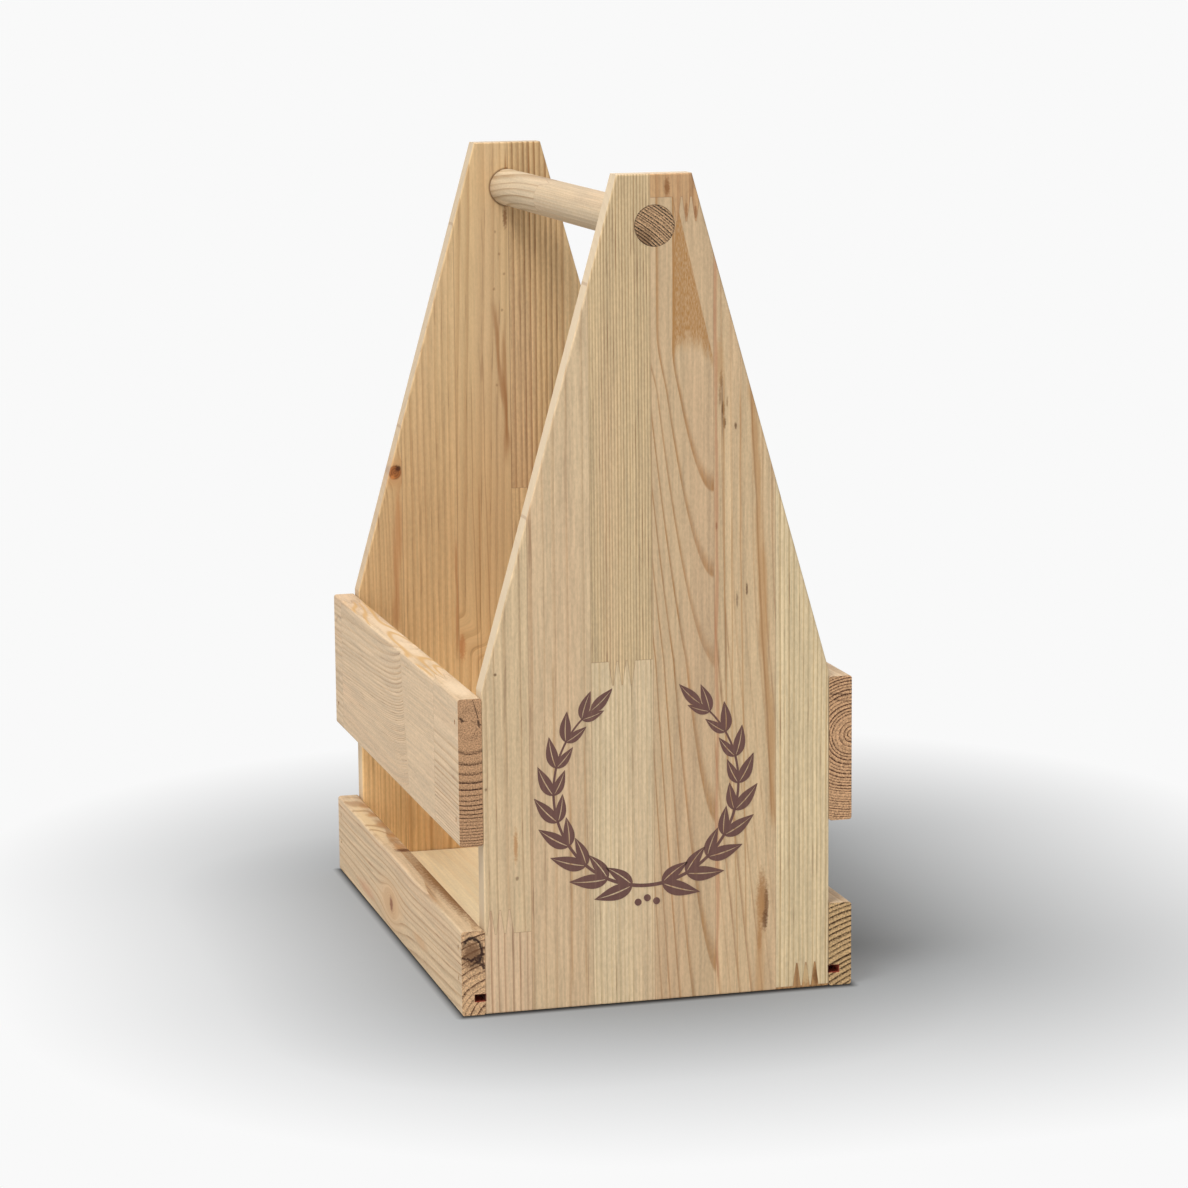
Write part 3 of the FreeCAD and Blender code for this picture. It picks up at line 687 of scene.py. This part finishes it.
# side slats, front to rear; the grain lies along y
leftJoints = [fingers(-84.0, -84.5, rearward, 2), fingers(-84.0, 113.0, forward, 2)]
rightJoints = [fingers(76.0, -113.0, rearward, 2), fingers(76.0, 84.5, forward, 2)]
honey = (190, 146, 84)
sideSlats = {
    "upper_left_slat_front": {"pith": (-79.4, -100, 123.6), "ring": 8.2, "tight": 0.00088, "vary": 0.3,
        "start": 0.5, "core": 1.0, "wander": 1.0, "contrast": 0.9, "endEarly": (182, 141, 104),
        "endLate": (66, 36, 20), "joints": leftJoints,
        "marks": [endCracks(((-78.6, 133.4), (-77.6, 129.8), 0.12, 0.7),
            ((-77.6, 129.8), (-76.6, 126.0), 0.16, 0.75), ((-76.6, 124.8), (-76.0, 122.6), 0.6, 0.85),
            ((-77.4, 124.0), (-79.6, 124.9), 0.1, 0.5), ((-81.2, 124.6), (-82.8, 125.2), 0.1, 0.6),
            ((-83.8, 125.8), (-83.2, 124.8), 0.6, 0.85), ((-77.0, 121.6), (-79.0, 117.6), 0.1, 0.5),
            ((-80.6, 131.2), (-82.8, 128.6), 0.1, 0.4))],
        # pale patch on the top: painted light
        "spots": [((-80, -107, 134), (6.0, 24.0, 1.4), (222, 198, 166), 0.6)]},
    "upper_left_slat_middle": {"pith": (-74, 0, 144), "lean": (0.0, 0.05), "ring": 5.0, "tight": 0.0006,
        "vary": 0.5, "wander": 2.0, "contrast": 0.62,
        "fault": {"across": (0.0, 0.246, 1.0), "place": 16.3, "shift": (9.0, -7.0, 40.0),
            "bend": (0.0, -5.0, 0.0), "soft": 1.0, "before": 1.35, "after": 0.35},
        "joints": leftJoints,
        "marks": [curls(134.0, (0.1, 0.0, 0.0), (0.11, 0.013, 0.0), 6.0, (-84.0, 113.0), honey, 0.75)],
        # pale patch on the top: painted light
        "spots": [((-80, 20, 134), (6.0, 90.0, 1.4), (222, 198, 166), 0.6)]},
    "upper_left_slat_rear": {"pith": (-84, 120, 170), "ring": 3.0, "joints": leftJoints},
    "lower_left_slat": {"pith": (-66, 0, -12), "lean": (0.0, 0.02), "bow": (0.0, 0.03), "ring": 2.6,
        "start": 0.55, "wander": 3.0, "contrast": 0.85, "early": (197, 171, 137),
        "endEarly": (202, 164, 124), "endLate": (84, 48, 28),
        "marks": [slatGrooveShade, barkRing, endCracks(((-84.2, 24.6), (-80.0, 23.6), 0.5, 0.85),
            ((-80.6, 23.4), (-76.0, 25.8), 0.9, 0.9), ((-78.4, 23.0), (-75.4, 20.4), 0.8, 0.85),
            ((-81.0, 21.2), (-78.6, 22.8), 0.3, 0.8), ((-83.6, 31.6), (-82.0, 32.8), 0.4, 0.7),
            ((-76.2, 30.4), (-75.8, 20.0), 0.3, 0.7)),
            curls(36.0, (0.07, 0.052, 0.0), (0.12, 0.05, 0.0), 2.0, (24.0, 132.0), (150, 106, 60), 0.6)],
        "knots": [{"across": (0.0, 1.0, 0.0), "place": (25.0, -11.0), "radius": 6.4, "squeeze": 0.42,
            "show": 0.3, "core": (176, 130, 88), "rim": (214, 180, 138), "halo": (204, 164, 120)}],
        # first spot: painted light on the outer part of the top
        "spots": [((-82.0, 78, 36), (4.4, 60.0, 1.4), (222, 194, 148), 0.6),
            ((-80.4, -130, 26), (6.4, 1.2, 9.4), (108, 74, 48), 0.85),
            ((-85, 10.2, 12.8), (2.0, 5.0, 4.6), (122, 68, 38), 0.85),
            ((-85, 66, 6), (2.0, 26.0, 4.0), (190, 142, 108), 0.55),
            ((-85, -50, 11), (2.0, 20.0, 3.2), (190, 146, 102), 0.5),
            ((-78, 20, 36), (5.0, 12.0, 3.0), (178, 124, 70), 0.6),
            ((-77.4, 15, 36), (6.0, 4.6, 3.0), (84, 42, 16), 0.95),
            # painted shade on the inner half of the top, under the upper slat
            ((-74.6, -56, 36), (7.4, 96.0, 4.0), (118, 78, 38), 0.95),
            ((-76.6, 106, 36), (4.4, 8.0, 3.0), (182, 132, 78), 0.7),
            ((-77.2, 86, 36), (4.4, 6.0, 3.0), (174, 124, 70), 0.75),
            ((-76.4, 66, 36), (5.0, 6.0, 3.0), (176, 126, 72), 0.75),
            ((-75.6, 44, 36), (5.0, 7.0, 3.0), (174, 122, 66), 0.75)]},
    "upper_right_slat_front": {"pith": (85, -115, 109), "ring": 1.6, "tight": 0.00016, "vary": 0.9,
        "fickle": 0.6, "wander": 1.4, "endEarly": (202, 159, 119), "endLate": (74, 38, 20),
        "joints": rightJoints,
        "marks": [endCracks(((75.8, 126.6), (82.4, 126.0), 0.4, 0.6),
            ((77.6, 123.8), (83.6, 123.2), 0.3, 0.5))]},
    "upper_right_slat_middle": {"pith": (66, 0, 190), "lean": (0.0, -0.04), "ring": 2.6, "wander": 3.0,
        "joints": rightJoints},
    "upper_right_slat_rear": {"pith": (92, 100, 40), "ring": 3.2, "joints": rightJoints},
    "lower_right_slat": {"pith": (106, 0, -47), "ring": 2.25, "vary": 0.6, "fickle": 0.3, "wander": 1.4,
        "marks": [slatGrooveShade], "endEarly": (198, 164, 118), "endLate": (66, 40, 16)},
}
for block in sideSlats.values():
    block.setdefault("early", (200, 174, 141))
    block.setdefault("late", (160, 124, 86))
    block.update(grain="lying")

# round handle from two blocks, and the thin board under the bottles
handleJoint = fingers(-6.0, 37.0, forward)
# painted shade round the rim of the handle's ends
endShadeRing = axisShadeRing((7.7, 8.5), (0.0, 0.4), (128.0, 132.0), (62, 40, 22))
handleBlocks = {
    "handle_front": {"pith": (-37, -60, 277.5), "ring": 1.12, "vary": 0.8, "fickle": 0.4, "start": 0.0,
        "wander": 0.9, "contrast": 0.35, "endEarly": (199, 160, 120), "endLate": (12, 6, 1), "dash": 0.1,
        "marks": [endShadeRing], "joints": [handleJoint],
        "spots": [((-5.0, -130, 320), (6.4, 1.4, 6.0), (84, 56, 30), 0.5)]},
    "handle_rear": {"pith": (-8, 75, 306), "lean": (0.02, 0.06), "bow": (0.0, -0.07), "ring": 3.0,
        "start": 0.55, "wander": 1.0, "contrast": 0.95, "endEarly": (178, 142, 104),
        "endLate": (96, 62, 36), "dash": 0.1, "marks": [endShadeRing], "joints": [handleJoint]},
}
for block in handleBlocks.values():
    block.update(grain="lying", early=(187, 166, 136), late=(142, 112, 76))
boardBlocks = {
    "bottom_board": {"grain": "lying", "pith": (10, 0, -52), "lean": (0.0, 0.02), "ring": 5.0,
        "wander": 9.0, "contrast": 0.38, "fibre": 0.5, "dash": 0.0, "early": (231, 208, 170),
        # painted light on the board's left side
        "late": (211, 178, 132), "marks": [paintBoardLeftLight]},
}

woodBlocks = {**frontStaves, **rearStaves, **sideSlats, **handleBlocks, **boardBlocks}
for number, (name, block) in enumerate(woodBlocks.items()):
    nodes[name].data.materials.clear()
    nodes[name].data.materials.append(pineMaterial(name, block, 1.0 + 2.37 * number))
print("pine figured on", len(woodBlocks), "blocks")


# A finish with patches: one cloudy noise blends its two colours, moves its roughness and is its relief.
def patchyMaterial(name, look):
    material, shader, coords = newMaterial(name)
    patch = cloud(coords["Object"], look["stretch"], 3.0)[0]
    share = eased(patch, *look["steps"]) if "steps" in look else patch
    feed(shader.inputs["Base Color"], blended(share, *look["tones"]))
    feed(shader.inputs["Roughness"], eased(patch, 0.3, 0.7, *look["rough"]))
    relief(shader, patch, *look["relief"])
    for word, value in look["shine"].items():
        feed(shader.inputs[word], value)
    return material


# flat-wire brads: dull grey steel, darker in patches
brads = {"tones": (paint(62, 52, 46), paint(120, 112, 104)), "stretch": (900.0, 900.0, 900.0),
         "rough": (0.38, 0.6), "relief": (0.2, 0.0001), "shine": {"Metallic": 0.9}}
steel = patchyMaterial("dull brad steel", brads)
for name, piece in nodes.items():
    if name.startswith("brads_"):
        piece.data.materials.clear()
        piece.data.materials.append(steel)
print("brads finished")

# wreath on the front face, in mm: two sprigs with paired leaves and berries, as a thin coat of ink
wreath = {"middle": (-5.0, 92.0), "radii": (40.0, 42.0), "stemTurns": (-0.16, 2.52), "pairs": 9,
          "leaf": (17.0, 6.4), "tip": (13.0, 4.8), "rib": 0.09, "stem": 0.8, "berry": 1.5, "sunk": 0.06,
          "berries": ((-5.0, 44.6), (-9.0, 43.0), (-1.0, 43.0)), "tipTilt": 0.06, "berryLift": 0.17,
          "outer": {"tilt": 0.62, "size": 0.82, "lift": 0.024}, "tipLift": 0.072,
          "inner": {"tilt": -0.62, "size": 1.0, "lift": 0.048}, "hands": ((-1.0, 0.05), (1.0, 0.062)),
          "leafTurns": (0.16, 2.38), "tipTurn": 2.5, "taper": (1.0, 0.72), "stemTaper": (1.0, 0.45),
          "bend": 0.16}


# A point on a sprig and its direction: an arc of an ellipse from the foot of the wreath, mirrored by hand.
def sprig(turn, hand):
    wide, high = wreath["radii"]
    place = np.stack([hand * wide * np.sin(turn), -high * np.cos(turn)], -1) + np.array(wreath["middle"])
    heading = np.stack([hand * wide * np.cos(turn), high * np.sin(turn)], -1)
    return place, heading / np.linalg.norm(heading, axis=-1, keepdims=True)


# Half leaves: from base to tip u, across v from the rib to the edge, half width sin(pi u^0.75) times
# the leaf's width, on a line that bends back towards the sprig's heading as u u.
def leaves(base, heading, angle, length, width):
    cosine, sine = np.cos(angle), np.sin(angle)
    right, up = heading[:, 0], heading[:, 1]
    ahead = np.stack([right * cosine - up * sine, right * sine + up * cosine], -1)
    across = np.stack([-ahead[:, 1], ahead[:, 0]], -1)
    u = np.linspace(0.0, 1.0, 15)[:, None]
    v = np.array([[wreath["rib"], 0.4, 0.75, 1.0]])
    half = (np.sin(np.pi * u ** 0.75) * 0.5 + 0.012) * v
    bend = -np.sign(angle)[:, None, None] * wreath["bend"] * u * u
    forwards = (u * length[:, None, None] + 0.0 * v)[..., None] * ahead[:, None, None]
    grids = []
    for hand in (-1.0, 1.0):
        sideways = hand * half * width[:, None, None] + bend * length[:, None, None]
        grids.append(base[:, None, None] + forwards + sideways[..., None] * across[:, None, None])
    return np.concatenate(grids)


# A round dot on a square grid: (a, b) goes to (a root(1 - b b / 2), b root(1 - a a / 2)).
def dots(base, size):
    a, b = np.meshgrid(np.linspace(-1, 1, 7), np.linspace(-1, 1, 7), indexing="ij")
    disc = np.stack([a * np.sqrt(1 - b * b / 2), b * np.sqrt(1 - a * a / 2)], -1)
    return base[:, None, None] + disc * size


# The rim of each sheet, walked once round: along its first row, last column, last row and first column.
def border(sheet):
    return np.concatenate([sheet[:, 0, :-1], sheet[:, :-1, -1], sheet[:, -1, :0:-1], sheet[:, :0:-1, 0]], 1)


# Ink patches as thin closed sheets: the grid in front of the face, the same grid behind it, and a rim
# of quads that follows the border of both. Each kind of patch lies a little prouder than the one before.
def inkMesh(grids):
    verts, quads, start = [], [], 0
    for proud, grid in grids:
        depth = np.zeros(grid.shape[:3] + (1,)) + front
        layers = [np.concatenate([grid[..., :1], depth + shift, grid[..., 1:]], -1)
                  for shift in (-proud, wreath["sunk"])]
        count, rows, cols = grid.shape[:3]
        index = start + np.arange(count * 2 * rows * cols).reshape(2, count, rows, cols)
        for sheet, turned in zip(index, (1, -1)):
            ring = [sheet[:, :-1, :-1], sheet[:, 1:, :-1], sheet[:, 1:, 1:], sheet[:, :-1, 1:]]
            quads.append(np.stack(ring[::turned], -1).reshape(-1, 4))
        outer, inner = border(index[0]), border(index[1])
        rim = [outer, np.roll(outer, -1, 1), np.roll(inner, -1, 1), inner]
        quads.append(np.stack(rim, -1).reshape(-1, 4))
        verts.append(np.stack(layers).reshape(-1, 3))
        start += count * 2 * rows * cols
    return np.concatenate(verts) / 1000, np.concatenate(quads)


grids = []
pairs = wreath["pairs"]
leafSizes = np.linspace(*wreath["taper"], pairs)[:, None] * np.array(wreath["leaf"])
stemWidths = wreath["stem"] * np.linspace(*wreath["stemTaper"], 60)[:, None, None]
halfStem = stemWidths * np.array([-1.0, 0.0, 1.0])[:, None]
for hand, lift in wreath["hands"]:
    place, heading = sprig(np.linspace(*wreath["stemTurns"], 60), hand)
    normal = np.stack([-heading[:, 1], heading[:, 0]], -1)
    grids.append((lift, (place[:, None] + halfStem * normal[:, None])[None]))
    place, heading = sprig(np.linspace(*wreath["leafTurns"], pairs), hand)
    for row in (wreath["outer"], wreath["inner"]):
        sheets = leaves(place, heading, np.full(pairs, row["tilt"] * hand), *(leafSizes * row["size"]).T)
        grids.append((lift + row["lift"], sheets))
    place, heading = sprig(np.array([wreath["tipTurn"]]), hand)
    tip = leaves(place, heading, np.array([wreath["tipTilt"] * hand]), *np.array([wreath["tip"]]).T)
    grids.append((lift + wreath["tipLift"], tip))
grids.append((wreath["berryLift"], dots(np.array(wreath["berries"]), wreath["berry"])))
inkVerts, inkQuads = inkMesh(grids)
inkSheet = bpy.data.meshes.new("front_wreath")
inkSheet.from_pydata(inkVerts.tolist(), [], inkQuads.tolist())
inkShape = bmesh.new()
inkShape.from_mesh(inkSheet)
bmesh.ops.recalc_face_normals(inkShape, faces=inkShape.faces)
inkShape.to_mesh(inkSheet)
inkShape.free()
frontWreath = bpy.data.objects.new("front_wreath", inkSheet)
scene.collection.objects.link(frontWreath)

# brown ink that sinks a little into the fibres
ink = {"tones": (paint(102, 70, 63), paint(124, 91, 78)), "steps": (0.45, 0.75, 0.0, 0.55),
       "stretch": (900.0, 900.0, 35.0), "rough": (0.5, 0.66), "relief": (0.25, 0.0002),
       "shine": {"Specular IOR Level": 0.3}}
inkSheet.materials.append(patchyMaterial("brown wood ink", ink))
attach(frontWreath, "root")
print("wreath printed:", len(inkQuads), "quads")

# studio: a white sheet for a floor, soft lamps at the left, the front and overhead; painted shade in mm
studio = {
    "floorHalf": 60.0, "floorDrop": -0.0004, "paper": paint(215, 217, 218), "glow": paint(249, 249, 249),
    "paperRough": 0.9, "paperShine": 0.1, "sky": 0.43, "aim": (0.0, 0.0, 0.15),
    # the next three are painted: a painted shadow round the caddy's base, a wider painted shade mostly at
    # its left and front, and painted shade in the crease under its edges
    "halo": {"middle": (54.0, 26.0, 0.0), "half": (42.0, 90.0, 0.0), "reach": 283.0, "fall": 1.12,
             "dark": paint(116, 118, 119)},
    "paintedHaze": {"middle": (-21.0, -20.0, 0.0), "half": (41.0, 110.0, 0.0), "reach": 112.0, "share": 0.4},
    "paintedCrease": {"middle": (0.0, 0.0, 0.0), "half": (84.6, 130.8, 0.0), "reach": 3.9, "fall": 1.1,
                "share": 0.9, "dark": paint(52, 50, 48)},
    "lamps": {"key_lamp": ((-1.0, -0.9, 1.9), 0.7, 24.5), "left_lamp": ((-2.2, -0.5, 0.8), 1.2, 7.0),
              "top_lamp": ((-0.25, -0.15, 2.1), 1.6, 25.0), "fill_lamp": ((-1.1, -2.1, 0.25), 1.3, 5.6)},
}
floorMesh = bpy.data.meshes.new("floor sheet")
corners = np.array([(-1, -1), (1, -1), (1, 1), (-1, 1)]) * studio["floorHalf"]
floorMesh.from_pydata([(x, y, studio["floorDrop"]) for x, y in corners.tolist()], [], [(0, 1, 2, 3)])
floor = bpy.data.objects.new("floor_sheet", floorMesh)
scene.collection.objects.link(floor)


# 1 for rays that show the thing to the camera, straight or mirrored, and 0 for rays that only carry light.
def seenShare():
    ray = newNode("LightPath").outputs
    seen = sums("MAXIMUM", ray["Is Camera Ray"], ray["Is Glossy Ray"])
    return sums("MAXIMUM", seen, ray["Is Transmission Ray"])


# Nearness to the caddy's base: 1 inside a rectangle, falling with the distance outside it to 0 at the reach.
def baseNearness(place, shade):
    inMillimetres = points("SCALE", place, 1000.0)
    out = points("ABSOLUTE", points("SUBTRACT", inMillimetres, shade["middle"]))
    over = points("MAXIMUM", points("SUBTRACT", out, shade["half"]), (0.0, 0.0, 0.0))
    gap = points("LENGTH", points("MULTIPLY", over, (1.0, 1.0, 0.0)))
    return sums("SUBTRACT", 1.0, sums("DIVIDE", gap, shade["reach"]), clamp=True)


# White paper: as seen it is grey round the caddy as a painted shadow and darkest as painted shade in the
# crease under its edges, and it glows white by (1 - halo) (1 - crease) (1 - haze) further out, where these
# three are painted shadow and shade; to other rays it is plain paper.
def paperMaterial(name):
    material, shader, coords = newMaterial(name)
    feed(shader.inputs["Roughness"], studio["paperRough"])
    feed(shader.inputs["Specular IOR Level"], studio["paperShine"])
    seen = seenShare()
    halo, paintedHaze, paintedCrease = (studio[word] for word in ("halo", "paintedHaze", "paintedCrease"))
    paintedShadowNear, paintedHazeNear, paintedCreaseNear = (
        baseNearness(coords["Object"], shade) for shade in (halo, paintedHaze, paintedCrease))
    paintedCreaseShare = times(sums("POWER", paintedCreaseNear, paintedCrease["fall"]), paintedCrease["share"])
    paintedShadeTone = blended(paintedCreaseShare, halo["dark"], paintedCrease["dark"])
    feed(shader.inputs["Base Color"], blended(seen, studio["paper"], paintedShadeTone))
    noPaintedShadow = minus(1.0, sums("POWER", paintedShadowNear, halo["fall"]))
    noPaintedHaze = timesPlus(paintedHazeNear, -paintedHaze["share"], 1.0)
    glow = newNode("Emission", Color=studio["glow"])
    mix = newNode("MixShader")
    feed(mix.inputs[0], times(noPaintedShadow, minus(1.0, paintedCreaseShare), noPaintedHaze, seen))
    feed(mix.inputs[1], shader.outputs[0])
    feed(mix.inputs[2], glow.outputs[0])
    feed(material.node_tree.nodes["Material Output"].inputs["Surface"], mix.outputs[0])
    return material


floorMesh.materials.append(paperMaterial("white paper sweep"))

world = bpy.data.worlds.new("white studio")
scene.world = world
world.use_nodes = True
drawing["tree"] = world.node_tree
sky = world.node_tree.nodes["Background"]
feed(sky.inputs["Color"], (1.0, 1.0, 1.0, 1.0))
feed(sky.inputs["Strength"], timesPlus(seenShare(), 1.0 - studio["sky"], studio["sky"]))


# A square lamp that looks at the middle of the caddy: its -Z axis runs from its place to the aim.
def softLamp(name, place, size, power):
    lamp = bpy.data.lights.new(name, "AREA")
    lamp.shape = "SQUARE"
    lamp.size = size
    lamp.energy = power
    holder = bpy.data.objects.new(name, lamp)
    holder.location = place
    aim = Vector(studio["aim"]) - Vector(place)
    holder.rotation_euler = aim.to_track_quat("-Z", "Y").to_euler()
    scene.collection.objects.link(holder)


for lampName, lampRow in studio["lamps"].items():
    softLamp(lampName, *lampRow)
print("floor and lamps placed")

# camera found from the caddy's corners: angles in degrees, eye in metres, lens for a 36 mm sensor
view = {"around": -14.98, "above": 10.016, "roll": -0.53, "eye": (-0.41922, -1.59645, 0.44287),
        "lens": 113.75, "sensor": 36.0, "clip": (0.05, 200.0)}
camera = bpy.data.cameras.new("photo_camera")
camera.sensor_width = view["sensor"]
camera.lens = view["lens"]
camera.clip_start, camera.clip_end = view["clip"]
eye = bpy.data.objects.new("photo_camera", camera)
around, above, roll = (math.radians(view[word]) for word in ("around", "above", "roll"))
back = Vector((math.sin(around) * math.cos(above), -math.cos(around) * math.cos(above), math.sin(above)))
right = Vector((math.cos(around), math.sin(around), 0.0))
up = back.cross(right)
level = math.cos(roll) * right + math.sin(roll) * up
upright = math.cos(roll) * up - math.sin(roll) * right
turned = Matrix((level, upright, back)).transposed().to_4x4()
eye.matrix_world = Matrix.Translation(view["eye"]) @ turned
scene.collection.objects.link(eye)
scene.camera = eye
scene.view_settings.view_transform = "Standard"
